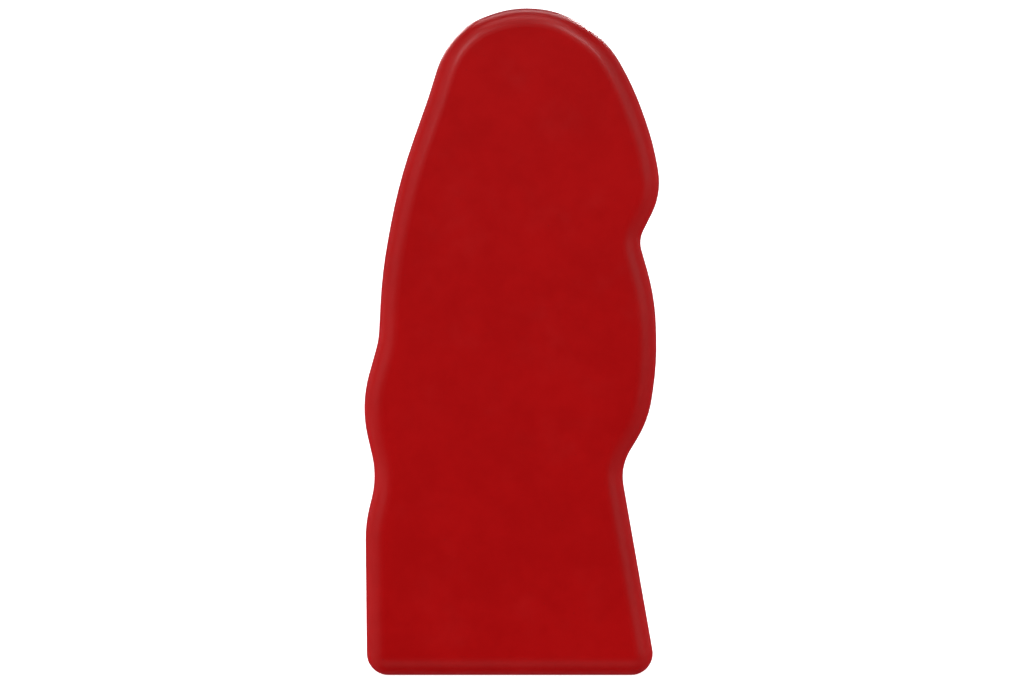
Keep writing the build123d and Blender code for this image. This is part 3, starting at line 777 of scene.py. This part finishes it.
def stick_profile():
    """Radius and height along the stick, from the middle of the butt to the middle of the tip."""
    low_r, low_z = quarter_round(butt_radius, butt_fillet, stick_low.z, 1)
    taper_rise = (shaft_radius - tip_radius) * tip_fillet / taper_length
    high_r, high_z = quarter_round(tip_radius + taper_rise, tip_fillet, stick_high.z, -1)
    hold = 0.06 * mm
    step_z = np.array([-hold, 0, 0, hold]) + grip_low.z
    step_r = np.array([butt_radius, butt_radius - hold, shaft_radius, shaft_radius])
    shaft_z = np.linspace(grip_low.z + 0.5 * mm, tip_start, 150)
    taper_z = np.linspace(tip_start, high_z[-1], 30)[1:-1]
    share = (taper_z - tip_start) / (stick_high.z - tip_start)
    taper_r = shaft_radius + (tip_radius - shaft_radius) * share
    flat_r = np.linspace(0.2, 0.95, 5)
    shaft_r = 0 * shaft_z + shaft_radius
    low_flat, high_flat = 0 * flat_r + stick_low.z, 0 * flat_r + stick_high.z
    tip_r = np.r_[taper_r, high_r[::-1], high_r[0] * flat_r[::-1]]
    tip_z = np.r_[taper_z, high_z[::-1], high_flat]
    radius = np.r_[low_r[0] * flat_r, low_r, step_r, shaft_r, tip_r]
    return radius, np.r_[low_flat, low_z, step_z, shaft_z, tip_z]


stick_radius, stick_height = stick_profile()
turn = np.linspace(0, 2 * np.pi, stick_turns, endpoint=False)[None, :]
along_stick = stick_height[:, None]
tool_mark, tool_feed = 0.006 * mm, 1.7 * mm
dent_depth, dents_from_tip, dents_reach = 0.05 * mm, 6 * mm, 4 * mm
least_radius = 0.05 * mm
tool_rings = tool_mark * (1 + np.sin(along_stick * 2 * np.pi / tool_feed))
dents = np.exp(-(((along_stick - stick_high.z + dents_from_tip) / dents_reach) ** 2))
dents = dents * dent_depth * (1 + np.sin(along_stick * 5200 + 2 * np.sin(turn * 3)))
lathe_radius = np.maximum(stick_radius[:, None] - tool_rings - dents, least_radius)
stick_points = turn_about_z(lathe_radius, stick_height, stick_x, stick_y, stick_turns)
stick_poles = [[stick_x, stick_y, stick_low.z], [stick_x, stick_y, stick_high.z]]
stick = grid_mesh("scraper_stick_wood", stick_points, close_columns=True, poles=stick_poles)
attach(stick, "scraper")
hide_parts("scraper_stick")

# %% [markdown]
# Pale turned wood shows long fibres along its length and sparse pores. Wax gives it a soft gloss,
# and rubbing over the ridges darkens and polishes the tip.

# %% Finish of the stick
def make_stick_wood():
    """Pale waxed wood along Z, darkened towards the tip and dirtied just above the grip."""
    finish = Finish("waxed_pale_wood", Specular_IOR_Level=0.4)
    rings, fibres, pores = add_wood(finish, (stick_x, stick_y, 0), 1.5 * mm)
    where = finish.place()
    z = finish.parts(where)[2]
    rubbed = finish.band(z, tip_start - 4 * mm, stick_high.z)
    held = finish.band(z, grip_high.z + 1 * mm, grip_high.z + 22 * mm, 1.0, 0.0)
    patch = finish.grain(where, 4 * mm, detail=5, roughness=0.65)
    base = finish.mix(finish.band(rings, 0.38, 0.62), (0.49, 0.305, 0.150), (0.64, 0.44, 0.245))
    base = finish.mix(finish.band(fibres, 0.4, 0.7) * 0.4, base, (0.70, 0.51, 0.31))
    base = finish.mix(pores * 0.55, base, (0.26, 0.145, 0.065))
    base = finish.mix(rubbed * (0.25 + patch * 0.5), base, (0.27, 0.145, 0.065))
    base = finish.mix(held * patch * 0.35, base, (0.30, 0.19, 0.10))
    gloss = 0.46 + fibres * 0.12 - rubbed * 0.12 + pores * 0.1
    height = fibres * 0.5 - pores * 0.8
    finish.into(Base_Color=base, Roughness=gloss, Normal=finish.bump(height, 0.04 * mm, 0.9))
    return finish.material


stick.data.materials.append(make_stick_wood())
print(stick.name, "wears", stick.data.materials[0].name)

# %% [markdown]
# ## Scraper: the ribbed rubber grip
#
# The grip is a moulded sleeve with a groove every four millimetres, whose edges are soft because
# rubber is. Its section is a closed loop: up the outside, over the rounded top and down the bore.
# Carrying that loop round the axis closes the mesh both ways, with no caps to add.

# %% Section and mesh of the grip
grip_radius, bore_radius = 4.4 * mm, 3.15 * mm
groove_pitch, groove_width, groove_in = 4 * mm, 1.2 * mm, 0.5 * mm
groove_slope = 0.4 * mm
mouth_round, end_round, bore_end = 0.25 * mm, 1 * mm, 0.05 * mm
grip_length = grip_high.z - grip_low.z
groove_count = int((grip_length - groove_pitch) // groove_pitch)
first_groove = (grip_low.z + grip_high.z - (groove_count - 1) * groove_pitch) / 2


def grip_section():
    """Radius and height round the sleeve's section.

    Distance from the nearest groove's middle, less half the groove's width, is turned into a depth
    that rises smoothly over the groove's slope.
    """
    outer_z = np.linspace(grip_low.z + mouth_round, grip_high.z - end_round, 300)
    nearest = np.clip(np.round((outer_z - first_groove) / groove_pitch), 0, groove_count - 1)
    off_middle = np.abs(outer_z - first_groove - nearest * groove_pitch)
    t = np.clip((groove_width / 2 + groove_slope / 2 - off_middle) / groove_slope, 0, 1)
    outer_r = grip_radius - groove_in * t * t * (3 - 2 * t)
    top_r, top_height = quarter_round(grip_radius, end_round, grip_high.z, -1)
    low_r, low_height = quarter_round(grip_radius, mouth_round, grip_low.z, 1, steps=6)
    bore_z = np.linspace(grip_high.z - bore_end, grip_low.z + bore_end, 24)
    radius = np.r_[low_r[:-1], outer_r, top_r[::-1][1:], 0 * bore_z + bore_radius]
    height = np.r_[low_height[:-1], outer_z, top_height[::-1][1:], bore_z]
    return radius, height


section_r, section_z = grip_section()
grip_points = turn_about_z(section_r[:, None], section_z, stick_x, stick_y, stick_turns)
grip = grid_mesh("scraper_grip_rubber", grip_points, close_rows=True, close_columns=True)
grip.data.materials.append(make_rubber("ribbed_grip_rubber", 0.3 * mm, 0.35))
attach(grip, "scraper")
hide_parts("scraper_grip")
print(groove_count, "grooves, the first at", round(first_groove / mm, 2), "mm")

# %% [markdown]
# ## Ring of the sound port
#
# The ring lines the port's edge: a rounded flange on the face, a neck through the wall and a barb
# that holds behind it. It is a closed section as well. It is turned about an upright axis and then
# has its height and depth swapped, so that its axis runs along Y.

# %% Section and mesh of the ring
ring_low, ring_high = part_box("port_ring")
port_x, port_z = (ring_low.x + ring_high.x) / 2, (ring_low.z + ring_high.z) / 2
flange_radius = (ring_high.x - ring_low.x) / 2
port_bore, neck_radius, barb_radius = 9 * mm, 10.9 * mm, 11.4 * mm
barb_y = ring_low.y + 1 * mm


def ring_section():
    """Radius and depth round the ring's section, from the flange's face outwards and back.

    The flange's outer corner and the bore's lip are quarter circles, and every other corner is two
    points a hair apart.
    """
    hair, lip = 0.05 * mm, 0.3 * mm
    face_r, face_y = quarter_round(flange_radius, 0.8 * mm, ring_high.y, -1)
    angle = np.linspace(0, np.pi / 2, 8)
    lip_r = port_bore + lip * (1 - np.cos(angle))
    lip_y = ring_high.y - lip * (1 - np.sin(angle))
    corners = np.array(
        [
            [flange_radius, front_y + hair],
            [flange_radius - hair, front_y],
            [neck_radius + hair, front_y],
            [neck_radius, front_y - hair],
            [neck_radius, barb_y],
            [barb_radius, barb_y],
            [barb_radius - hair, barb_y - hair],
            [neck_radius - 0.08 * mm, ring_low.y],
            [port_bore + hair, ring_low.y],
            [port_bore, ring_low.y + hair],
        ]
    )
    bore_y = np.linspace(ring_low.y + 1 * mm, ring_high.y - 0.6 * mm, 8)
    radius = np.r_[face_r, corners[:, 0], 0 * bore_y + port_bore, lip_r]
    return radius, np.r_[face_y, corners[:, 1], bore_y, lip_y]


ring_r, ring_y = ring_section()
ring_turns = 128
swap_height_and_depth = [0, 2, 1]
ring_points = turn_about_z(ring_r[:, None], ring_y, port_x, port_z, ring_turns)
ring_points = ring_points[..., swap_height_and_depth]
port_ring = grid_mesh("port_ring_moulding", ring_points, close_rows=True, close_columns=True)
port_ring.data.materials.append(black_plastic)
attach(port_ring, "case")
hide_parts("port_ring")
